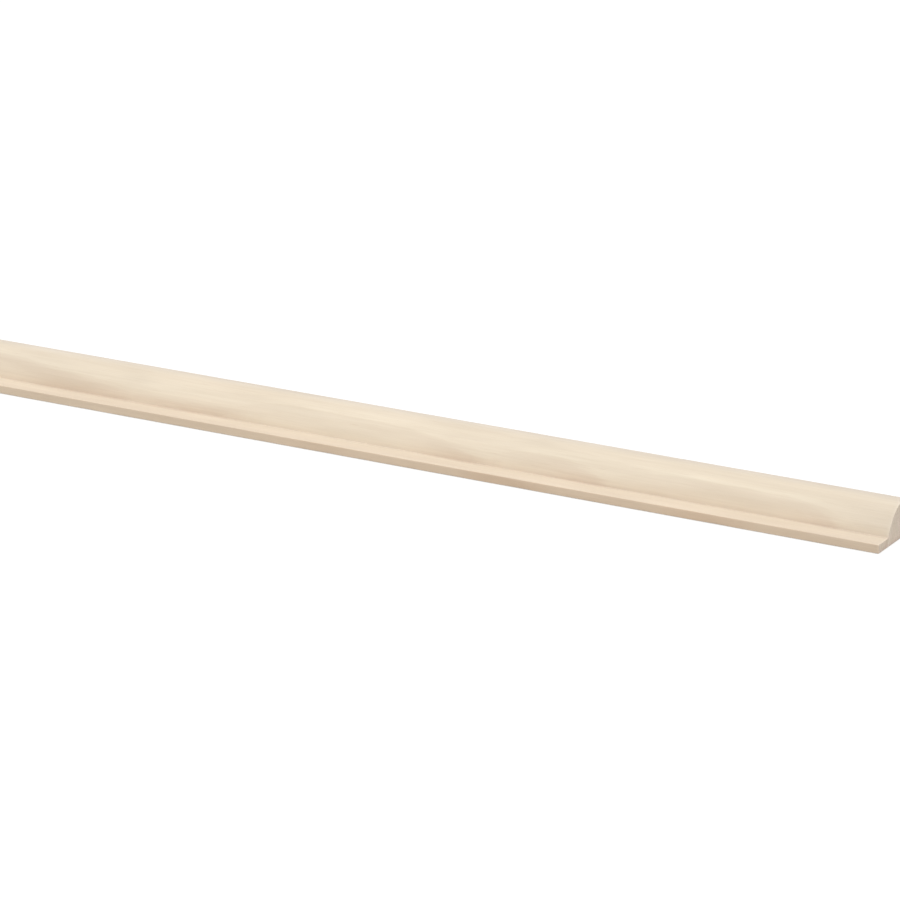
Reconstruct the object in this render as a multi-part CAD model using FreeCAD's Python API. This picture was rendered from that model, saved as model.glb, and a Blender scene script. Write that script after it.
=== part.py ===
import FreeCAD, Part
import math
import os

# Quarter round moulding with a lip: one length of planed softwood, lying on its base.
# +X runs along the length, the lip points to -Y, the back stands at +Y, and +Z is up.
# The origin is the middle of the base. All sizes are in millimetres.

# Driving dimensions
moulding_length = 1000.0
quarter_radius = 18.0      # the round, struck from the bottom back corner, so it is also the height
lip_projection = 10.0      # how far the lip stands out past the round's own radius
lip_thickness = 4.2        # height of the narrow front face
arris_radius = 0.3         # easing of the four long outer edges
lip_corner_radius = 0.3    # left by the cutter where the round meets the lip

# Sizes that follow from the driving dimensions
moulding_width = quarter_radius + lip_projection
front_y = -moulding_width / 2
back_y = moulding_width / 2
start_x = -moulding_length / 2
round_foot_y = back_y - math.sqrt(quarter_radius**2 - lip_thickness**2)


def section_point(y, z):
    """A point of the section, in the plane of the left end."""
    return FreeCAD.Vector(start_x, y, z)


def section_face():
    """The machined section: base, front of the lip, top of the lip, quarter round and back."""
    bottom_back = section_point(back_y, 0)
    bottom_front = section_point(front_y, 0)
    lip_edge = section_point(front_y, lip_thickness)
    round_foot = section_point(round_foot_y, lip_thickness)
    top_back = section_point(back_y, quarter_radius)

    # The arc's middle point lies half way between the angles of its two ends.
    foot_angle = math.asin(lip_thickness / quarter_radius)
    middle_angle = (foot_angle + math.pi / 2) / 2
    round_middle = section_point(
        back_y - quarter_radius * math.cos(middle_angle),
        quarter_radius * math.sin(middle_angle),
    )

    outline = [
        Part.LineSegment(bottom_back, bottom_front),
        Part.LineSegment(bottom_front, lip_edge),
        Part.LineSegment(lip_edge, round_foot),
        Part.Arc(round_foot, round_middle, top_back),
        Part.LineSegment(top_back, bottom_back),
    ]
    return Part.Face(Part.Wire([curve.toShape() for curve in outline]))


def long_edges_at(solid, corners):
    """The edges that run the whole length through the given (y, z) corners of the section."""
    found = []
    for y, z in corners:
        middle = FreeCAD.Vector(0, y, z)
        found.append(min(solid.Edges, key=lambda edge: edge.CenterOfMass.distanceToPoint(middle)))
    return found


def moulding():
    """The section run out to the full length, with its long edges eased."""
    stock = section_face().extrude(FreeCAD.Vector(moulding_length, 0, 0))

    inner_corner = [(round_foot_y, lip_thickness)]
    stock = stock.makeFillet(lip_corner_radius, long_edges_at(stock, inner_corner))

    outer_corners = [
        (back_y, 0),
        (front_y, 0),
        (front_y, lip_thickness),
        (back_y, quarter_radius),
    ]
    return stock.makeFillet(arris_radius, long_edges_at(stock, outer_corners))


os.makedirs("parts", exist_ok=True)
moulding().exportStep("parts/moulding.step")
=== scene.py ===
"""Looks of a quarter round moulding with a lip: one length of bare planed pine on a white studio floor."""

import math

import bpy
import numpy as np
from mathutils import Matrix, Vector


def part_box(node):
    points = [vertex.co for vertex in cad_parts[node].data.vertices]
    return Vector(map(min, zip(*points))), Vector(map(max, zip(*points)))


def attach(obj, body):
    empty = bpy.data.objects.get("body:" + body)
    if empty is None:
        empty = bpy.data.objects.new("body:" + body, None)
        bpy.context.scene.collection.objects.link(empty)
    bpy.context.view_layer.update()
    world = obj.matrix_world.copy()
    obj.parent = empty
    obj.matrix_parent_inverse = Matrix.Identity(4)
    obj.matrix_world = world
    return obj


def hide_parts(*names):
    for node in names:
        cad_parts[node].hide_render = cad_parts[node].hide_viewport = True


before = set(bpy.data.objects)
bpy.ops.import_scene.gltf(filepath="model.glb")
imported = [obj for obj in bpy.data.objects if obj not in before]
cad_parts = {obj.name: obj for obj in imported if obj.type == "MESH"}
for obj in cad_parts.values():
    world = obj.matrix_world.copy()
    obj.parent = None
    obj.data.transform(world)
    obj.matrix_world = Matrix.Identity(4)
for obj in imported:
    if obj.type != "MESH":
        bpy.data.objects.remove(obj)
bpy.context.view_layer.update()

# Section of the moulding, in metres, the same sizes as the solid
QUARTER_RADIUS = 0.018
LIP_THICKNESS = 0.0042
ARRIS_RADIUS = 0.0003
LIP_CORNER_RADIUS = 0.0003

# Where the solid lies: the near end is at +X, the lip points to -Y
NODE = "moulding"
solid_low, solid_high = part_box(NODE)
FRONT_Y, BACK_Y = solid_low.y, solid_high.y
FAR_X, NEAR_X = solid_low.x, solid_high.x
LENGTH = NEAR_X - FAR_X
FOOT_Y = BACK_Y - math.sqrt(QUARTER_RADIUS**2 - LIP_THICKNESS**2)

# Mesh: cells of each run of the section, rows along the length, and rings of cells on a sawn end
BASE_CELLS = 19
BACK_CELLS = 14
ROUND_CELLS = 46
LIP_CELLS = 13
FRONT_CELLS = 7
ARRIS_CELLS = 5
ROWS_ALONG = 690
CAP_RINGS = 14

# Short cell beside each edge, and the easing that the saw left round the ends
EDGE_CELL = 0.00025
END_ARRIS = 0.00012
END_ARRIS_CELLS = 3

# Middle of a sawn end: share of the radius in front of the back,
# and share of the lip's thickness above the base
MIDDLE_FROM_BACK = 0.45
MIDDLE_FROM_BASE = 0.6

# Wear and painted light: how deep the long edges are rubbed at most,
# and how far each mark reaches from its edge, corner or end; the corner's dust has painted shade in it,
# the top edge's tint is a painted sheen, and the fray at the ends has a painted highlight
RUB_DEPTH = 0.00008
EDGE_REACH = 0.0006
CORNER_REACH = 0.0015
TOP_SHEEN_REACH = 0.0040
SOIL_REACH = 0.030
FRAY_AND_HIGHLIGHT_REACH = 0.0007

# Waves of the rub along the first edge, then the share that they are longer by
# and the angle that they are turned by on each further edge
RUB_WAVELENGTHS = (0.190, 0.067, 0.023)
RUB_STRETCH = 0.17
RUB_TURN = 2.4

# Soil near the ends: its strength at the base, which falls by one up to the top, and the lip's share of it
SOIL_AT_BASE = 1.6
SOIL_ON_LIP = 0.5

# Growth of the wood: the pith lies in front of the lip and above it
PITH_DISTANCE = 0.085
PITH_TILT = math.radians(70)

# Bands of growth outwards from the pith: the inner edge of each, measured from the middle of the base,
# and the deepest tone of its late wood
GROWTH_BANDS = (
    (-0.0330, 0.80),
    (-0.0265, 0.95),
    (-0.0205, 1.00),
    (-0.0047, 0.45),
    (0.0091, 0.85),
    (0.0155, 0.95),
    (0.0215, 0.80),
)

# Tone across one band, from its inner edge: palest wood, plain wood, then a tan belt with a soft outer edge
PLAIN_TONE = 0.42
BAND_TONES = (
    (0.0, 0.0),
    (0.08, 0.08),
    (0.20, 0.36),
    (0.45, PLAIN_TONE),
    (0.64, PLAIN_TONE),
    (0.74, 0.68),
    (0.82, 0.92),
    (0.88, 1.0),
    (0.92, 0.90),
    (0.962, PLAIN_TONE),
    (1.0, 0.0),
)

# Fine rings in each band: their number, the tone across one of them, and the size of their stronger places
RINGS_PER_BAND = 7
FINE_RING_TONES = ((0.0, 0.0), (0.45, 0.1), (0.8, 0.9), (0.9, 1.0), (1.0, 0.0))
FINE_RING_PLACES = (0.004, 0.004)

# Waves of the bands: size across and along the grain of the slow and the fine ones, the fine ones' share,
# and how many bands the waves move the wood by, on the planed faces and on the sawn ends
SLOW_WAVE = (0.006, 0.060)
FINE_WAVE = (0.0012, 0.012)
FINE_WAVE_SHARE = 0.5
PLANED_WAVINESS = 0.10
SAWN_WAVINESS = 0.03

# Heartwood, warmer than the sapwood: where it begins and where it is full, measured as the bands are
HEART_EDGE = -0.005
HEART_FULL = -0.009

# Arches of the figure, in metres from the near end: start, start and end of the crest, end and height,
# then the depth of the tan at the crest
FIGURE_ARCHES = (
    (0.020, 0.058, 0.102, 0.140, 0.0025, 0.46),
    (0.139, 0.176, 0.179, 0.204, 0.0021, 0.75),
    (0.204, 0.274, 0.316, 0.350, 0.0033, 0.00),
    (0.330, 0.352, 0.398, 0.412, 0.0002, 1.10),
    (0.396, 0.535, 0.550, 0.600, 0.0050, 0.90),
    (0.592, 0.640, 0.655, 0.690, 0.0020, 0.40),
    (0.684, 0.760, 0.790, 0.845, 0.0033, 0.30),
    (0.838, 0.872, 0.880, 0.905, 0.0014, 0.50),
    (0.902, 0.960, 0.985, 1.040, 0.0025, 0.40),
)

# Form of the arches: the power that their sine is raised to, and the lift of the grain between them
ARCH_BLUNTNESS = 1.6
LOWEST_LIFT = 0.0009

# Tan of the arches: its depth between them and at their ends, and the shares of the rise between which
# it goes to the crest's depth
TAN_BETWEEN = 0.85
TAN_AT_END = 0.15
TAN_FADE_START = 0.2
TAN_FADE_END = 0.8

# Depth of the pale edge outside the tan, between the arches and where one starts
PALE_AT_START = 0.5

# Half the stretch that both depths are averaged over, and the number of places in it
FIGURE_BLUR = 0.008
BLUR_PLACES = 7

# Tan on the section: its depth high on the round, what the foot adds, how high that reaches above the lip,
# and how far the tan runs out onto the lip; what the foot adds is partly the wood's tan and partly painted
# shade of the lip's corner
TAN_HIGH_UP = 0.53
TAN_AND_SHADE_AT_FOOT = 0.73
FOOT_REACH = 0.0042
TAN_ON_LIP = 0.0018

# Clouds on the round: distance from the near end, height along the arc, reach along the length
# and round the arc, and strength, which is above zero for a pale cloud and below it for a dull one
CLOUDS = (
    (0.041, 0.0145, 0.018, 0.0040, -0.030),
    (0.092, 0.0173, 0.011, 0.0008, 0.035),
    (0.108, 0.0155, 0.010, 0.0030, -0.035),
    (0.182, 0.0210, 0.014, 0.0030, -0.055),
    (0.262, 0.0140, 0.030, 0.0040, 0.038),
    (0.336, 0.0220, 0.045, 0.0040, 0.042),
    (0.345, 0.0110, 0.038, 0.0022, 0.040),
    (0.406, 0.0178, 0.010, 0.0040, -0.055),
    (0.433, 0.0115, 0.014, 0.0025, 0.035),
    (0.465, 0.0180, 0.028, 0.0050, -0.032),
    (0.620, 0.0190, 0.030, 0.0050, -0.035),
    (0.700, 0.0165, 0.025, 0.0040, 0.040),
    (0.810, 0.0210, 0.035, 0.0040, -0.035),
    (0.910, 0.0150, 0.030, 0.0040, 0.035),
)

# Warm patches of the narrow front face: their spacing, the start of the first,
# how far their sine is raised, and the warmth between them
PATCH_SPACING = 0.104
PATCH_START = 0.060
PATCH_RAISE = 0.1
WARMTH_BETWEEN = 0.45

# Slow swell of the patches: its length, and the place where it is deepest
SWELL_LENGTH = 0.60
SWELL_DEEPEST = 0.15

# Picture map of the wood, in shares of its side: the number of strips,
# then the scale for a metre and the pitch of the strips and of the ends, and the bare edge
STRIPS = 3
STRIP_SCALE = 2.94
STRIP_PITCH = 0.258
END_SCALE = 10.0
END_PITCH = 0.32
PICTURE_EDGE = 0.008

# Colours of the planed wood, and the resin's
PALEST_WOOD = (0.892, 0.782, 0.625, 1)
PLAIN_WOOD = (0.850, 0.738, 0.588, 1)
TAN_WOOD = (0.764, 0.634, 0.497, 1)
RESIN = (0.62, 0.45, 0.30, 1)

# Tints of the planed faces; those in a table are named after the field that says where they lie
FINE_RING_TINT = (0.98, 0.972, 0.962)
# Darkening in the lip's corner: dust together with painted shade
DUST_AND_SHADE_TINT = (0.932, 0.929, 0.942)
WOOD_TINTS = {
    "heart": (1.01, 0.986, 0.98),
    "front": (1.018, 0.982, 0.938),
    "front_warmth": (0.93, 0.87, 0.83),
}
# Tints of marks: handling and soil, a painted sheen on the top edge, and fray with a painted highlight at
# the ends
MARK_AND_LIGHT_TINTS = {
    "rubbed": (0.93, 0.92, 0.92),
    # Painted sheen: a cool, paler tint along the top edge
    "top_edge_sheen": (0.945, 0.972, 1.04),
    "soil": (0.945, 0.949, 0.962),
    # Fray at the ends, with a painted highlight
    "frayed_highlight": (1.05, 1.06, 1.08),
}

# Range that most of a noise lies in, and its middle
NOISE_LOW = 0.3
NOISE_MIDDLE = 0.5
NOISE_HIGH = 0.7

# Streaks of the planed faces, from broad and faint to fine: size across and along the grain,
# with the pale and the dull tint of each
MOTTLE_SIZE = (0.0070, 0.045)
MOTTLE_TINTS = ((1.04, 1.045, 1.05), (0.965, 0.96, 0.955))
BROAD_SIZE = (0.0045, 0.22)
BROAD_TINTS = ((1.015, 1.02, 1.02), (0.985, 0.98, 0.975))
MIDDLING_SIZE = (0.0013, 0.08)
MIDDLING_TINTS = ((1.01, 1.01, 1.012), (0.99, 0.986, 0.98))
FIBRE_SIZE = (0.0004, 0.035)
FIBRE_TINTS = ((1.015, 1.018, 1.02), (0.978, 0.97, 0.962))

# Where the mottle's pattern starts along the length, counted in its features
MOTTLE_START = 7.0

# Resin lines: size across and along the grain, the noise where they begin and where they are deepest,
# and their depth there
RESIN_SIZE = (0.00022, 0.009)
RESIN_BEGIN = 0.70
RESIN_DEEPEST = 0.76
RESIN_DEPTH = 0.3

# Least share of the dust and painted shade in the lip's corner
DUST_AND_SHADE_LEAST = 0.5

# Surface of the planed faces: roughness with the fibre, what rubbing takes off it, shine,
# and depth of the relief
PLANED_ROUGHNESS = (0.58, 0.72)
RUB_POLISH = 0.12
PLANED_SHINE = 0.35
PLANED_RELIEF = 0.00005

# Relief of the planed faces beside the fibre's: the tan's share, and the pitch and share
# of the ripple that the planer's cutter leaves
TAN_RELIEF = 0.4
RIPPLE_PITCH = 0.0014
RIPPLE_RELIEF = 0.02

# Colours and tints of the sawn ends
PALE_END = (0.902, 0.792, 0.672, 1)
TAN_END = (0.785, 0.668, 0.546, 1)
END_RING_TINT = (0.86, 0.82, 0.77)
RAY_TINTS = ((1.015, 1.015, 1.018), (0.98, 0.978, 0.975))
SAW_TINTS = ((1.015, 1.015, 1.015), (0.975, 0.975, 0.975))
PORE_TINTS = ((1.04, 1.04, 1.04), (0.93, 0.92, 0.91))
STAIN_TINTS = ((1.045, 1.02, 1.035), (0.955, 0.965, 0.94))
RIM_TINT = (0.93, 0.92, 0.90)
END_BASE_TINT = (0.90, 0.87, 0.88)

# Rays, pores and stains of the sawn ends: the rays' width and their number across a band, then sizes
RAY_WIDTH = 0.00022
RAYS_PER_BAND = 2.5
PORE_SIZE = (0.00025, 0.00025)
STAIN_SIZE = (0.0035, 0.0035)

# Circular saw that cut the ends: its axis, in the plane of the cut, and the spacing and relief of its lines
SAW_AXIS = (0.0, 0.045, 0.115)
SAW_SPACING = 0.00035
SAW_RELIEF = 0.8

# Dull rim of the sawn ends: the noise of the stains where it is full and where it is faintest,
# and its least share
RIM_FULL = 0.35
RIM_FAINT = 0.65
RIM_LEAST = 0.2

# Darkening low on the sawn ends: how high it reaches from the base
END_BASE_REACH = 0.0022

# Surface of the sawn ends: roughness with the pores, shine, and depth of the relief
SAWN_ROUGHNESS = (0.8, 0.92)
SAWN_SHINE = 0.2
SAWN_RELIEF = 0.0001

# Strength of the relief on every face
RELIEF_STRENGTH = 0.5

# Light: sky and lamp together are about one on the brightest part of the round
SKY_LEVEL = 0.47
LAMP_LEVEL = 0.575
LAMP_SPREAD = math.radians(70)
LAMP_TILT = math.radians(30)
LAMP_AZIMUTH = math.radians(46)

# Studio floor: half its side, how far it lies below the base, its grey,
# and the glow that makes it show white
FLOOR_REACH = 60.0
FLOOR_DROP = 0.0002
FLOOR_GREY = 0.5
FLOOR_GLOW = 0.58

# Photograph: its side and focal length in pixels, the view's direction,
# and the distance and pixel of the moulding's near bottom front corner
PICTURE_SIDE = 900
FOCAL_PIXELS = 4078
VIEW_AZIMUTH = math.radians(29.76)
VIEW_ELEVATION = math.radians(18.29)
CORNER_DISTANCE = 1.807
CORNER_PIXEL = (878.0, 553.5)

# Camera: width of its sensor in millimetres, and the nearest and farthest things that it sees
SENSOR_WIDTH = 36.0
NEAREST_SEEN = 0.01
FARTHEST_SEEN = 200


def straight_run(start, end, cells):
    """Straight run of the section: even cells from start to end, with one short cell beside each end.

    The normal is the run's direction turned a quarter right, which points out of the wood.
    """
    start = np.array(start)
    run = np.array(end) - start
    length = np.linalg.norm(run)
    edge = EDGE_CELL / length
    share = np.concatenate([[0.0], np.linspace(edge, 1 - edge, cells - 1)])
    normal = np.array([run[1], -run[0]]) / length
    return start + share[:, None] * run, np.tile(normal, (len(share), 1))


def arc_run(centre, radius, start_angle, end_angle, cells):
    """Arc of the section: centre plus radius times (cos, sin) of evenly spaced angles.

    The normal is the outward radius where the angle grows, and the inward one where it falls.
    """
    angle = np.linspace(start_angle, end_angle, cells, endpoint=False)
    radial = np.stack([np.cos(angle), np.sin(angle)], axis=1)
    return np.array(centre) + radius * radial, radial * math.copysign(1, end_angle - start_angle)


def section_outline():
    """The closed section seen from +X, anticlockwise: base, back, quarter round, lip and front.

    Each arris is an arc tangent to the two runs beside it. Returns points and outward normals as (y, z).
    """
    quarter_turn = math.pi / 2
    arris = ARRIS_RADIUS
    corner = LIP_CORNER_RADIUS
    inner_front = FRONT_Y + arris
    inner_back = BACK_Y - arris
    lip_arris_z = LIP_THICKNESS - arris

    # The top arris touches the back and the inside of the round.
    # The lip's corner touches the lip and the outside of the round.
    top_z = math.sqrt((QUARTER_RADIUS - arris) ** 2 - arris**2)
    top_angle = math.atan2(top_z, -arris)
    corner_z = LIP_THICKNESS + corner
    corner_y = BACK_Y - math.sqrt((QUARTER_RADIUS + corner) ** 2 - corner_z**2)
    corner_angle = math.atan2(corner_z, corner_y - BACK_Y)

    runs = [
        straight_run((inner_front, 0), (inner_back, 0), BASE_CELLS),
        arc_run((inner_back, arris), arris, -quarter_turn, 0, ARRIS_CELLS),
        straight_run((BACK_Y, arris), (BACK_Y, top_z), BACK_CELLS),
        arc_run((inner_back, top_z), arris, 0, top_angle, ARRIS_CELLS),
        arc_run((BACK_Y, 0), QUARTER_RADIUS, top_angle, corner_angle, ROUND_CELLS),
        arc_run((corner_y, corner_z), corner, corner_angle - math.pi, -quarter_turn, ARRIS_CELLS),
        straight_run((corner_y, LIP_THICKNESS), (inner_front, LIP_THICKNESS), LIP_CELLS),
        arc_run((inner_front, lip_arris_z), arris, quarter_turn, 2 * quarter_turn, ARRIS_CELLS),
        straight_run((FRONT_Y, lip_arris_z), (FRONT_Y, arris), FRONT_CELLS),
        arc_run((inner_front, arris), arris, 2 * quarter_turn, 3 * quarter_turn, ARRIS_CELLS),
    ]
    points = np.concatenate([points for points, _ in runs])
    normals = np.concatenate([normals for _, normals in runs])
    return points, normals


def length_rows():
    """Rows of the surface from the far end's middle to the near end's middle.

    Each row is the section at one place along X, drawn towards its middle by a scale and an inset.
    Returns the places, scales and insets, and whether the cells after a row belong to a sawn end.
    """
    turn = np.linspace(0, math.pi / 2, END_ARRIS_CELLS + 1)
    arris_x = END_ARRIS * (1 - np.sin(turn))
    arris_inset = END_ARRIS * (1 - np.cos(turn))
    cap_scale = np.linspace(0, 1, CAP_RINGS + 1)[1:-1]

    body_x = np.concatenate([[EDGE_CELL], np.linspace(0, LENGTH, ROWS_ALONG)[1:-1], [LENGTH - EDGE_CELL]])
    near_x = np.concatenate([LENGTH - arris_x, np.full(len(cap_scale), LENGTH)])
    near_inset = np.concatenate([arris_inset, np.full(len(cap_scale), END_ARRIS)])
    near_scale = np.concatenate([np.ones(len(turn)), cap_scale[::-1]])
    far_x = LENGTH - near_x[::-1]

    place = FAR_X + np.concatenate([far_x, body_x, near_x])
    scale = np.concatenate([near_scale[::-1], np.ones(len(body_x)), near_scale])
    inset = np.concatenate([near_inset[::-1], np.zeros(len(body_x)), near_inset])
    sawn = (scale[:-1] < 1) | (scale[1:] < 1)
    return place, scale, inset, sawn


def bell(distance):
    """Bell curve: the exponential of minus the square of a distance that is counted in reaches."""
    return np.exp(-(distance**2))


def nearness(section, corner, reach):
    """One at a corner of the section, falling off as the bell curve of the distance over the reach."""
    distance = np.hypot(*(section - np.array(corner)).T)
    return bell(distance / reach)


def rubbed_edges(place, section):
    """How much each point is rubbed, from none to one, on a grid of rows along X by points of the section.

    Along an edge, the rub is the square of the mean of three sines of unlike wavelengths.
    Each of the four edges has its own set, and it fades with the nearness to that edge.
    """
    corners = ((FRONT_Y, 0), (BACK_Y, 0), (BACK_Y, QUARTER_RADIUS), (FRONT_Y, LIP_THICKNESS))
    rub = np.zeros((len(place), len(section)))
    for number, corner in enumerate(corners):
        wavelengths = np.array(RUB_WAVELENGTHS) * (1 + RUB_STRETCH * number)
        waves = np.sin(2 * math.pi * place[:, None] / wavelengths + RUB_TURN * number)
        rub += waves.mean(axis=1)[:, None] ** 2 * nearness(section, corner, EDGE_REACH)
    return rub


def figure(x):
    """Lift of the grain, depth of the tan and depth of the pale edge outside it, at places along the length.

    The lift is the lowest lift and the highest arch together, in metres.
    An arch is its height times a quarter sine from its start or end to its crest, raised to the bluntness.
    Its tan is full at the start and goes to the crest's depth in a straight line.
    Its pale edge deepens in a straight line from the start to the crest.
    Past the crest, both fall off with the square of the way left to the arch's end.
    """
    from_end = NEAR_X - x
    arched = np.zeros_like(x)
    tan_depth = np.full_like(x, TAN_BETWEEN)
    pale_depth = np.full_like(x, PALE_AT_START)
    for start, crest_start, crest_end, end, height, crest_depth in FIGURE_ARCHES:
        rise = np.clip((from_end - start) / (crest_start - start), 0, 1)
        fall = np.clip((end - from_end) / (end - crest_end), 0, 1)
        arch = height * np.sin(math.pi / 2 * np.minimum(rise, fall)) ** ARCH_BLUNTNESS
        fade = np.clip((rise - TAN_FADE_START) / (TAN_FADE_END - TAN_FADE_START), 0, 1)
        rising_tan = 1 + (crest_depth - 1) * fade
        rising_pale = PALE_AT_START + (1 - PALE_AT_START) * rise
        highest = arch > arched
        arched = np.where(highest, arch, arched)
        tan_depth = np.where(highest, TAN_AT_END + (rising_tan - TAN_AT_END) * fall**2, tan_depth)
        pale_depth = np.where(highest, rising_pale * fall**2, pale_depth)
    return LOWEST_LIFT + arched, tan_depth, pale_depth


def on_round(y):
    """One behind the round's foot, fading to none over a short way out onto the lip."""
    return np.clip(1 + (y - FOOT_Y) / TAN_ON_LIP, 0, 1)


def growth_fields(x, y, z):
    """Numbers that the wood's growth gives to each point, by name.

    The bands are the distance from the pith less the lift, counted in bands between the bands' edges.
    The place round the pith is the angle about it times its distance from the base, in metres.
    The heartwood grows from none to one towards the pith.
    The depths of the tan and of the pale edge are the means of the figure's over a short stretch.
    The tan deepens down the round towards its foot, partly as painted shade of the lip's corner, and fades
    out on the lip.
    """
    out_y = y + math.sin(PITH_TILT) * PITH_DISTANCE
    out_z = z - math.cos(PITH_TILT) * PITH_DISTANCE
    outward = np.hypot(out_y, out_z) - PITH_DISTANCE
    band_edges = [edge for edge, _ in GROWTH_BANDS]
    lift = figure(x)[0]
    stretch = np.linspace(-FIGURE_BLUR, FIGURE_BLUR, BLUR_PLACES)
    _, tan_depth, pale_depth = np.mean([figure(x + shift) for shift in stretch], axis=0)
    # Deeper tan towards the foot: partly the wood's tan, partly painted shade of the lip's corner
    deepened = TAN_HIGH_UP + TAN_AND_SHADE_AT_FOOT * bell((z - LIP_THICKNESS) / FOOT_REACH)
    return {
        "bands": np.interp(outward - lift, band_edges, np.arange(len(band_edges))),
        "round_pith": np.arctan2(out_z, out_y) * PITH_DISTANCE,
        "heart": np.clip((HEART_EDGE - outward) / (HEART_EDGE - HEART_FULL), 0, 1),
        "tan_depth": tan_depth * deepened * on_round(y),
        "pale_depth": pale_depth,
    }


def place_fields(x, y, z):
    """Numbers that the place on the moulding gives to each point, by name.

    The brightness is one, and each cloud adds its strength times a bell curve of the distance to its middle.
    The height along the arc is the angle about the bottom back corner times the radius.
    The front is one on the narrow front face and fades out over its arrises.
    Its warmth is a raised sine along the length, and its strength swells and sinks as a slower one.
    The soil and the fray with its painted highlight fall off as bell curves of the distance to the nearer
    end.
    The soil is deeper low down, and only a part of it lies on the lip.
    """
    from_end = NEAR_X - x
    from_nearer_end = np.minimum(from_end, LENGTH - from_end)
    arc = np.arctan2(z, BACK_Y - y) * QUARTER_RADIUS
    brightness = np.ones_like(x)
    for place, height, along, across, strength in CLOUDS:
        brightness += strength * bell(np.hypot((from_end - place) / along, (arc - height) / across))

    front = np.clip((FRONT_Y + ARRIS_RADIUS - y) / ARRIS_RADIUS, 0, 1)
    patch = np.sin(2 * math.pi * (from_end - PATCH_START) / PATCH_SPACING)
    patch = np.clip(PATCH_RAISE + (1 - PATCH_RAISE) * patch, 0, 1)
    swell = 0.5 + 0.5 * np.cos(2 * math.pi * (from_end - SWELL_DEEPEST) / SWELL_LENGTH)
    soil_depth = SOIL_AT_BASE - z / QUARTER_RADIUS
    soil_share = SOIL_ON_LIP + (1 - SOIL_ON_LIP) * on_round(y)
    return {
        "brightness": brightness,
        "front": front,
        "front_warmth": front * swell * (WARMTH_BETWEEN + (1 - WARMTH_BETWEEN) * patch),
        "soil": bell(from_nearer_end / SOIL_REACH) * soil_depth * soil_share,
        # Fray at the ends, with a painted highlight along their arrises
        "frayed_highlight": bell(from_nearer_end / FRAY_AND_HIGHLIGHT_REACH),
    }


def edge_fields(section, scale, rubbed):
    """Numbers that the nearness to an edge gives to each point, by name. The middles of the ends have none.

    The rim is one on the outline of a sawn end and falls to none over its outer ring of cells.
    """
    rows, around = rubbed.shape
    # Share of the dust and painted shade in the lip's corner
    in_corner = nearness(section, (FOOT_Y, LIP_THICKNESS), CORNER_REACH)
    # Share of the painted sheen along the top edge
    top_edge_sheen = nearness(section, (BACK_Y, QUARTER_RADIUS), TOP_SHEEN_REACH)
    rim = np.clip(1 - (1 - scale) * CAP_RINGS, 0, 1)
    on_grid = {
        "rubbed": rubbed.ravel(),
        "rim": np.repeat(rim, around),
        "in_corner": np.tile(in_corner, rows),
        "top_edge_sheen": np.tile(top_edge_sheen, rows),
    }
    return {name: np.append(values, [0, 0]) for name, values in on_grid.items()}


def picture_places(place, across, sawn):
    """Where each face's corners lie on the picture map, in the order of the mesh's faces.

    The long surface is cut into equal strips, unrolled one above the other: along X by along the outline.
    The two sawn ends lie side by side above the strips, drawn flat and larger.
    """
    rows, around = across.shape[:2]
    cell_row, cell_column = np.meshgrid(np.arange(rows - 1), np.arange(around), indexing="ij")
    row = np.stack([cell_row, cell_row, cell_row + 1, cell_row + 1], axis=2)
    column = np.stack([cell_column, cell_column + 1, cell_column + 1, cell_column], axis=2)

    body = across[rows // 2]
    steps = np.linalg.norm(np.roll(body, -1, axis=0) - body, axis=1)
    round_outline = np.concatenate([[0], np.cumsum(steps)])
    cell_middle = (place[:-1] + place[1:]) / 2
    strip = np.minimum((cell_middle - FAR_X) / LENGTH * STRIPS, STRIPS - 1).astype(int)[:, None, None]
    strip_start = FAR_X + strip * LENGTH / STRIPS
    along_strip = PICTURE_EDGE + (place[row] - strip_start) * STRIP_SCALE
    up_strip = PICTURE_EDGE + strip * STRIP_PITCH + round_outline[column] * STRIP_SCALE

    def end_places(y_and_z, is_near):
        """Places of points of the section on the drawing of the near or the far end."""
        side = PICTURE_EDGE + is_near * END_PITCH + (y_and_z[..., 0] - FRONT_Y) * END_SCALE
        return np.stack([side, PICTURE_EDGE + STRIPS * STRIP_PITCH + y_and_z[..., 1] * END_SCALE], axis=-1)

    on_strip = np.stack([along_strip, up_strip], axis=-1)
    on_end = end_places(across[row, column % around], (cell_row >= rows // 2)[:, :, None])
    quads = np.where(sawn[:, None, None, None], on_end, on_strip).reshape(-1, 2)

    after = np.roll(np.arange(around), -1)
    middle = np.broadcast_to(across[0].mean(axis=0), (around, 2))
    far_fan = np.stack([across[0][after], across[0], middle], axis=1)
    near_fan = np.stack([across[-1], across[-1][after], middle], axis=1)
    fans = [end_places(far_fan, False).reshape(-1, 2), end_places(near_fan, True).reshape(-1, 2)]
    return np.concatenate([quads, *fans])


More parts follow.
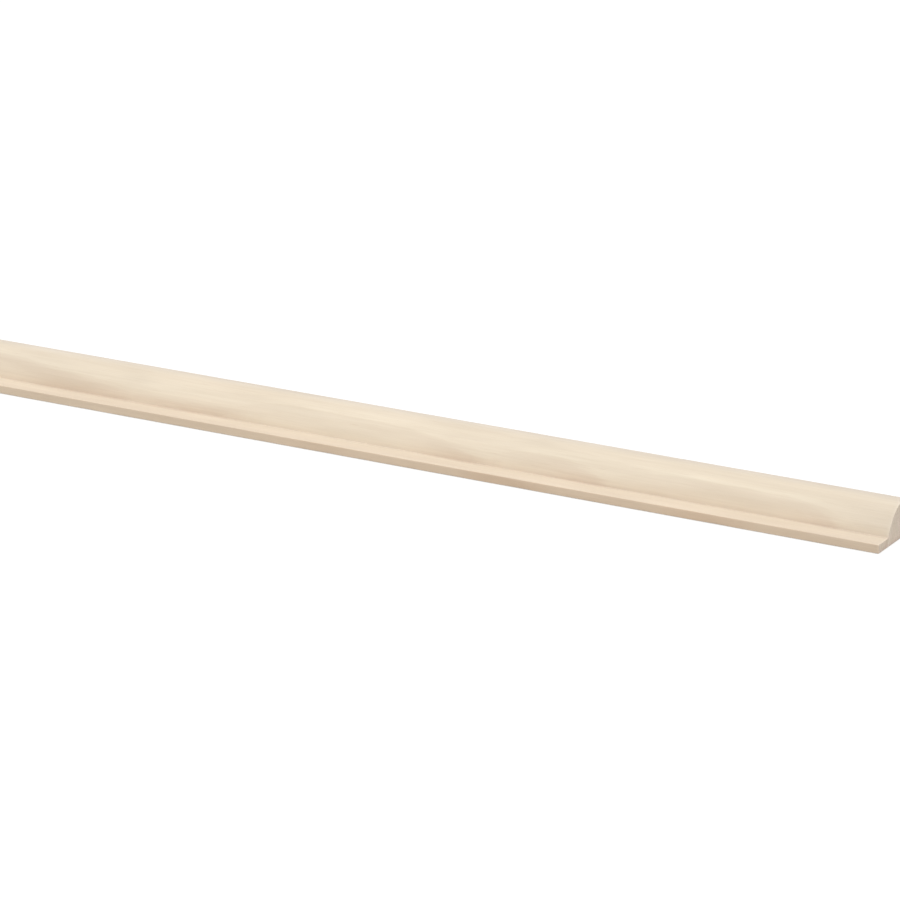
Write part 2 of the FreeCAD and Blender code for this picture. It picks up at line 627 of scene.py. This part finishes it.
def moulding_mesh():
    """The section carried along X, closed by a fan at the middle of each sawn end.

    A point is the middle plus the scale times its way from the middle to the section, where the section
    is drawn in along its normal by the inset and the rub.
    """
    section, normals = section_outline()
    place, scale, inset, sawn = length_rows()
    rows, around = len(place), len(section)
    middle = np.array([BACK_Y - MIDDLE_FROM_BACK * QUARTER_RADIUS, MIDDLE_FROM_BASE * LIP_THICKNESS])

    rubbed = rubbed_edges(place, section)
    sunk = inset[:, None] + RUB_DEPTH * rubbed
    across = middle + scale[:, None, None] * (section - sunk[:, :, None] * normals - middle)
    along = np.broadcast_to(place[:, None], (rows, around))
    grid = np.concatenate([along[:, :, None], across], axis=2).reshape(-1, 3)
    poles = [[place[0], *middle], [place[-1], *middle]]
    points = np.concatenate([grid, poles])

    index = np.arange(rows * around).reshape(rows, around)
    after = np.roll(index, -1, axis=1)
    quads = np.stack([index[:-1], after[:-1], after[1:], index[1:]], axis=2).reshape(-1, 4)
    far_pole, near_pole = rows * around, rows * around + 1
    far_fan = np.stack([after[0], index[0], np.full(around, far_pole)], axis=1)
    near_fan = np.stack([index[-1], after[-1], np.full(around, near_pole)], axis=1)

    mesh = bpy.data.meshes.new("moulding_wood")
    mesh.from_pydata(points, [], quads.tolist() + far_fan.tolist() + near_fan.tolist())
    slots = np.concatenate([np.repeat(sawn, around), np.ones(2 * around)]).astype(np.int32)
    mesh.polygons.foreach_set("material_index", slots)
    mesh.polygons.foreach_set("use_smooth", np.ones(len(slots), bool))

    fields = {
        **growth_fields(*points.T),
        **place_fields(*points.T),
        **edge_fields(section, scale, rubbed),
    }
    for name, values in fields.items():
        layer = mesh.attributes.new(name, "FLOAT", "POINT")
        layer.data.foreach_set("value", values.astype(np.float32))

    picture = mesh.uv_layers.new(name="OFBake")
    picture.data.foreach_set("uv", picture_places(place, across, sawn).astype(np.float32).ravel())
    mesh.update()
    return mesh


def add_node(tree, kind, inputs=None, **settings):
    """Adds a node with its own settings; each input is given a value or linked to another node's socket."""
    made = tree.nodes.new(kind)
    for name, value in settings.items():
        setattr(made, name, value)
    for name, value in (inputs or {}).items():
        if isinstance(value, bpy.types.NodeSocket):
            tree.links.new(value, made.inputs[name])
        else:
            made.inputs[name].default_value = value
    return made


def calculate(tree, operation, first, second=0.0):
    """One step of arithmetic on two values or sockets."""
    return add_node(tree, "ShaderNodeMath", {0: first, 1: second}, operation=operation).outputs[0]


def between(tree, value, from_low, from_high, to_low, to_high):
    """A value carried from one range to another and held at its ends."""
    ranges = {"From Min": from_low, "From Max": from_high, "To Min": to_low, "To Max": to_high}
    return add_node(tree, "ShaderNodeMapRange", {"Value": value, **ranges}).outputs[0]


def ramped(tree, value, steps, way):
    """A value read from a table of (place, tone) steps."""
    ramp = add_node(tree, "ShaderNodeValToRGB", {0: value})
    ramp.color_ramp.interpolation = way
    while len(ramp.color_ramp.elements) < len(steps):
        ramp.color_ramp.elements.new(0.5)
    for element, (place, tone) in zip(ramp.color_ramp.elements, steps):
        element.position = place
        element.color = (tone, tone, tone, 1)
    return ramp.outputs[0]


def blended(tree, share, first, second, way="MIX"):
    """Two colours blended by a share. The mix node's inputs 6 and 7 and its output 2 are its colours."""
    inputs = {0: share, 6: first, 7: second}
    return add_node(tree, "ShaderNodeMix", inputs, data_type="RGBA", blend_type=way).outputs[2]


def tinted(tree, share, colour, tint):
    """A colour multiplied by a tint, as far as the share says."""
    return blended(tree, share, colour, (*tint, 1), "MULTIPLY")


def streaked(tree, colour, noise, tints):
    """A colour multiplied by tints that run from pale to dull with a noise."""
    pale, dull = tints
    share = between(tree, noise, NOISE_LOW, NOISE_HIGH, 0, 1)
    tint = blended(tree, share, (*pale, 1), (*dull, 1))
    return blended(tree, 1.0, colour, tint, "MULTIPLY")


def attribute(tree, name):
    """A number that the mesh carries at each point."""
    return add_node(tree, "ShaderNodeAttribute", attribute_name=name).outputs["Fac"]


def own_place(tree, scale=(1, 1, 1), start=(0, 0, 0)):
    """The point's own place in metres, stretched along the axes and then moved by the start."""
    place = add_node(tree, "ShaderNodeTexCoord").outputs["Object"]
    mapping = {"Vector": place, "Scale": scale, "Location": start}
    return add_node(tree, "ShaderNodeMapping", mapping).outputs[0]


def grain_noise(tree, size, detail=2.0, roughness=0.5, start=0.0):
    """Noise drawn out along the length: features of the given size across and along, in metres.

    The start moves the pattern along the length, counted in its features.
    """
    across, along = size
    stretched = own_place(tree, (1 / along, 1 / across, 1 / across), (start, 0, 0))
    noise = {"Vector": stretched, "Scale": 1.0, "Detail": detail, "Roughness": roughness}
    return add_node(tree, "ShaderNodeTexNoise", noise).outputs["Fac"]


def wavy_bands(tree, waviness):
    """The bands of growth, moved a little by a slow wave and a finer one along the grain."""
    slow = calculate(tree, "SUBTRACT", grain_noise(tree, SLOW_WAVE), NOISE_MIDDLE)
    fine = calculate(tree, "SUBTRACT", grain_noise(tree, FINE_WAVE), NOISE_MIDDLE)
    waves = calculate(tree, "ADD", slow, calculate(tree, "MULTIPLY", fine, FINE_WAVE_SHARE))
    return calculate(tree, "ADD", attribute(tree, "bands"), calculate(tree, "MULTIPLY", waves, waviness))


def band_tone(tree, bands):
    """Tone of the growth band at a point, no deeper than the late wood of that band."""
    tone = ramped(tree, calculate(tree, "FRACT", bands), BAND_TONES, "EASE")
    count = len(GROWTH_BANDS)
    deepest = [(number / count, depth) for number, (_, depth) in enumerate(GROWTH_BANDS)]
    band_middle = calculate(tree, "ADD", calculate(tree, "FLOOR", bands), 0.5)
    band_share = calculate(tree, "DIVIDE", band_middle, count)
    return calculate(tree, "MINIMUM", tone, ramped(tree, band_share, deepest, "CONSTANT"))


def fine_rings(tree, bands):
    """Share of late wood in the fine rings of each band, stronger in some places than in others."""
    ring_place = calculate(tree, "FRACT", calculate(tree, "MULTIPLY", bands, RINGS_PER_BAND))
    late_wood = ramped(tree, ring_place, FINE_RING_TONES, "EASE")
    return calculate(tree, "MULTIPLY", late_wood, grain_noise(tree, FINE_RING_PLACES))


def new_material(name):
    """An empty node material with its surface shader. Returns the material, its tree and the shader."""
    material = bpy.data.materials.new(name)
    material.use_nodes = True
    tree = material.node_tree
    return material, tree, tree.nodes["Principled BSDF"]


def finish_surface(tree, shader, colour, roughness, height, relief, shine):
    """Links a surface's colour, roughness and relief to its shader, and sets its shine."""
    bumps = {"Strength": RELIEF_STRENGTH, "Distance": relief, "Height": height}
    tree.links.new(colour, shader.inputs["Base Color"])
    tree.links.new(roughness, shader.inputs["Roughness"])
    tree.links.new(add_node(tree, "ShaderNodeBump", bumps).outputs[0], shader.inputs["Normal"])
    shader.inputs["Specular IOR Level"].default_value = shine


def planed_growth(tree, bands):
    """Colour of the planed wood as it grew, with painted shade at the round's foot, and the depth of its
    tan.

    A tone above the plain one is tan and one below it is pale, each as deep as the figure lets it be.
    """
    tone = calculate(tree, "SUBTRACT", band_tone(tree, bands), PLAIN_TONE)
    tan = calculate(tree, "MAXIMUM", tone, 0.0)
    tan = calculate(tree, "MULTIPLY", tan, attribute(tree, "tan_depth"))
    pale = calculate(tree, "MINIMUM", tone, 0.0)
    pale = calculate(tree, "MULTIPLY", pale, attribute(tree, "pale_depth"))
    colour = blended(tree, between(tree, pale, -PLAIN_TONE, 0, 0, 1), PALEST_WOOD, PLAIN_WOOD)
    colour = blended(tree, between(tree, tan, 0, 1 - PLAIN_TONE, 0, 1), colour, TAN_WOOD)
    colour = tinted(tree, fine_rings(tree, bands), colour, FINE_RING_TINT)
    for name, tint in WOOD_TINTS.items():
        colour = tinted(tree, attribute(tree, name), colour, tint)
    return colour, tan


def planed_streaks(tree, colour, broad, fibre):
    """A colour with the mottle, the streaks of the fibre, the placed clouds and the resin's short lines."""
    mottle = grain_noise(tree, MOTTLE_SIZE, start=MOTTLE_START)
    colour = streaked(tree, colour, mottle, MOTTLE_TINTS)
    colour = streaked(tree, colour, broad, BROAD_TINTS)
    colour = streaked(tree, colour, grain_noise(tree, MIDDLING_SIZE), MIDDLING_TINTS)
    colour = streaked(tree, colour, fibre, FIBRE_TINTS)
    colour = blended(tree, 1.0, colour, attribute(tree, "brightness"), "MULTIPLY")
    resin_noise = grain_noise(tree, RESIN_SIZE, detail=1.0)
    resin = between(tree, resin_noise, RESIN_BEGIN, RESIN_DEEPEST, 0, RESIN_DEPTH)
    return blended(tree, resin, colour, RESIN)


def planed_marks_and_light(tree, colour, broad):
    """A colour with dust and painted shade in the lip's corner, handling along the edges, a painted sheen
    along the top edge, and soil, fray and a painted highlight near the ends.
    """
    # Dust and painted shade in the lip's corner
    dust_and_shade = between(tree, broad, NOISE_LOW, NOISE_HIGH, DUST_AND_SHADE_LEAST, 1)
    dust_and_shade = calculate(tree, "MULTIPLY", attribute(tree, "in_corner"), dust_and_shade)
    colour = tinted(tree, dust_and_shade, colour, DUST_AND_SHADE_TINT)
    # Handling, the painted sheen on the top edge, soil, and fray with its painted highlight
    for name, tint in MARK_AND_LIGHT_TINTS.items():
        colour = tinted(tree, attribute(tree, name), colour, tint)
    return colour


def planed_pine():
    """Bare planed pine: broad soft bands, streaks, resin lines, marks of use with painted shade in the lip's
    corner, a painted sheen and painted highlights, and the cutter's ripple.

    The rubbed edges are smoother than the rest, and the ripple is a sine along the length.
    """
    material, tree, shader = new_material("planed_pine")
    broad = grain_noise(tree, BROAD_SIZE)
    fibre = grain_noise(tree, FIBRE_SIZE, detail=3.0, roughness=0.6)
    colour, tan = planed_growth(tree, wavy_bands(tree, PLANED_WAVINESS))
    colour = planed_streaks(tree, colour, broad, fibre)
    colour = planed_marks_and_light(tree, colour, broad)

    polish = calculate(tree, "MULTIPLY", attribute(tree, "rubbed"), RUB_POLISH)
    roughness = between(tree, fibre, NOISE_LOW, NOISE_HIGH, *PLANED_ROUGHNESS)
    roughness = calculate(tree, "SUBTRACT", roughness, polish)

    ripple_place = own_place(tree, (2 * math.pi / RIPPLE_PITCH, 1, 1))
    ripple_turn = add_node(tree, "ShaderNodeSeparateXYZ", {0: ripple_place}).outputs["X"]
    ripple = calculate(tree, "MULTIPLY", calculate(tree, "SINE", ripple_turn), RIPPLE_RELIEF)
    raised_grain = calculate(tree, "ADD", fibre, calculate(tree, "MULTIPLY", tan, TAN_RELIEF))
    height = calculate(tree, "ADD", raised_grain, ripple)
    finish_surface(tree, shader, colour, roughness, height, PLANED_RELIEF, PLANED_SHINE)
    return material


def ray_noise(tree, bands):
    """Noise of the rays, which run straight out from the pith: thin round the ring and long across it."""
    round_pith = calculate(tree, "DIVIDE", attribute(tree, "round_pith"), RAY_WIDTH)
    across_band = calculate(tree, "MULTIPLY", bands, RAYS_PER_BAND)
    place = add_node(tree, "ShaderNodeCombineXYZ", {"X": round_pith, "Y": across_band}).outputs[0]
    noise = {"Vector": place, "Scale": 1.0, "Detail": 1.0}
    return add_node(tree, "ShaderNodeTexNoise", noise, noise_dimensions="2D").outputs["Fac"]


def saw_noise(tree, cut_place):
    """Noise of the saw's lines, which are arcs about the saw's axis."""
    from_axis = add_node(tree, "ShaderNodeVectorMath", {0: cut_place, 1: SAW_AXIS}, operation="DISTANCE")
    lines = calculate(tree, "DIVIDE", from_axis.outputs["Value"], SAW_SPACING)
    noise = {"W": lines, "Scale": 1.0, "Detail": 2.0}
    return add_node(tree, "ShaderNodeTexNoise", noise, noise_dimensions="1D").outputs["Fac"]


def sawn_pine():
    """Sawn end grain: duller than the planed faces, with rings, rays, pores, stains and the saw's arcs."""
    material, tree, shader = new_material("sawn_pine_end")
    bands = wavy_bands(tree, SAWN_WAVINESS)
    cut_place = own_place(tree, (0, 1, 1))
    saw_lines = saw_noise(tree, cut_place)
    pores = grain_noise(tree, PORE_SIZE, detail=3.0, roughness=0.7)
    stains = grain_noise(tree, STAIN_SIZE)

    colour = blended(tree, band_tone(tree, bands), PALE_END, TAN_END)
    colour = tinted(tree, fine_rings(tree, bands), colour, END_RING_TINT)
    colour = streaked(tree, colour, ray_noise(tree, bands), RAY_TINTS)
    colour = streaked(tree, colour, saw_lines, SAW_TINTS)
    colour = streaked(tree, colour, pores, PORE_TINTS)
    colour = streaked(tree, colour, stains, STAIN_TINTS)

    # Dull rim along the outline, and darker low down
    rim_share = between(tree, stains, RIM_FULL, RIM_FAINT, 1, RIM_LEAST)
    rim = calculate(tree, "MULTIPLY", attribute(tree, "rim"), rim_share)
    colour = tinted(tree, rim, colour, RIM_TINT)
    cut_height = add_node(tree, "ShaderNodeSeparateXYZ", {0: cut_place}).outputs["Z"]
    colour = tinted(tree, between(tree, cut_height, 0, END_BASE_REACH, 1, 0), colour, END_BASE_TINT)

    roughness = between(tree, pores, NOISE_LOW, NOISE_HIGH, *SAWN_ROUGHNESS)
    height = calculate(tree, "ADD", pores, calculate(tree, "MULTIPLY", saw_lines, SAW_RELIEF))
    finish_surface(tree, shader, colour, roughness, height, SAWN_RELIEF, SAWN_SHINE)
    return material


def add_moulding():
    """The wooden moulding, in place of the plain solid."""
    mesh = moulding_mesh()
    mesh.materials.append(planed_pine())
    mesh.materials.append(sawn_pine())
    piece = bpy.data.objects.new("moulding_wood", mesh)
    bpy.context.scene.collection.objects.link(piece)
    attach(piece, "root")
    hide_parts(NODE)


def seen_straight(tree):
    """One for rays that show the background itself: from the camera, in a reflection or through glass."""
    path = add_node(tree, "ShaderNodeLightPath").outputs
    seen = calculate(tree, "MAXIMUM", path["Is Camera Ray"], path["Is Glossy Ray"])
    return calculate(tree, "MAXIMUM", seen, path["Is Transmission Ray"])


def add_floor():
    """Pale studio floor that shows white apart from the moulding's shadow."""
    sides = ((-1, -1), (1, -1), (1, 1), (-1, 1))
    corners = [(x * FLOOR_REACH, y * FLOOR_REACH, -FLOOR_DROP) for x, y in sides]
    mesh = bpy.data.meshes.new("studio_floor")
    mesh.from_pydata(corners, [], [(0, 1, 2, 3)])

    material, tree, shader = new_material("studio_floor")
    shader.inputs["Base Color"].default_value = (FLOOR_GREY, FLOOR_GREY, FLOOR_GREY, 1)
    shader.inputs["Roughness"].default_value = 1.0
    shader.inputs["Specular IOR Level"].default_value = 0.0
    shader.inputs["Emission Color"].default_value = (1, 1, 1, 1)
    glow = calculate(tree, "MULTIPLY", seen_straight(tree), FLOOR_GLOW)
    tree.links.new(glow, shader.inputs["Emission Strength"])
    mesh.materials.append(material)

    floor = bpy.data.objects.new("studio_floor", mesh)
    bpy.context.scene.collection.objects.link(floor)


def add_light():
    """Soft light: an even sky, and one broad lamp above the near front corner."""
    scene = bpy.context.scene
    world = bpy.data.worlds.new("studio_sky")
    world.use_nodes = True
    tree = world.node_tree
    sky = tree.nodes["Background"]
    sky.inputs["Color"].default_value = (1, 1, 1, 1)
    strength = between(tree, seen_straight(tree), 0, 1, SKY_LEVEL, 1.0)
    tree.links.new(strength, sky.inputs["Strength"])
    scene.world = world

    # A sun of strength pi lights a white face that is turned to it to a level of one.
    lamp = bpy.data.lights.new("broad_lamp", "SUN")
    lamp.energy = LAMP_LEVEL * math.pi
    lamp.angle = LAMP_SPREAD
    lamp_object = bpy.data.objects.new("broad_lamp", lamp)
    towards = Vector((math.sin(LAMP_AZIMUTH), -math.cos(LAMP_AZIMUTH), 0)) * math.sin(LAMP_TILT)
    towards.z = math.cos(LAMP_TILT)
    lamp_object.rotation_mode = "QUATERNION"
    lamp_object.rotation_quaternion = towards.to_track_quat("Z", "Y")
    scene.collection.objects.link(lamp_object)


def add_camera():
    """Camera at the photograph's view: the moulding's near bottom front corner falls on its own pixel."""
    forward_level = Vector((-math.sin(VIEW_AZIMUTH), math.cos(VIEW_AZIMUTH), 0))
    right = Vector((math.cos(VIEW_AZIMUTH), math.sin(VIEW_AZIMUTH), 0))
    forward = forward_level * math.cos(VIEW_ELEVATION) - Vector((0, 0, math.sin(VIEW_ELEVATION)))
    up = right.cross(forward)

    middle_pixel = (PICTURE_SIDE - 1) / 2
    metres_per_pixel = CORNER_DISTANCE / FOCAL_PIXELS
    corner_right = (CORNER_PIXEL[0] - middle_pixel) * metres_per_pixel
    corner_up = (middle_pixel - CORNER_PIXEL[1]) * metres_per_pixel
    near_corner = Vector((NEAR_X, FRONT_Y, 0))
    place = near_corner - right * corner_right - up * corner_up - forward * CORNER_DISTANCE

    camera = bpy.data.cameras.new("camera")
    camera.sensor_width = SENSOR_WIDTH
    camera.lens = SENSOR_WIDTH * FOCAL_PIXELS / PICTURE_SIDE
    camera.clip_start = NEAREST_SEEN
    camera.clip_end = FARTHEST_SEEN
    camera_object = bpy.data.objects.new("camera", camera)
    turn = Matrix((right, up, -forward)).transposed().to_4x4()
    camera_object.matrix_world = Matrix.Translation(place) @ turn
    bpy.context.scene.collection.objects.link(camera_object)
    bpy.context.scene.camera = camera_object


add_camera()
add_moulding()
add_floor()
add_light()
bpy.context.scene.view_settings.view_transform = "Standard"
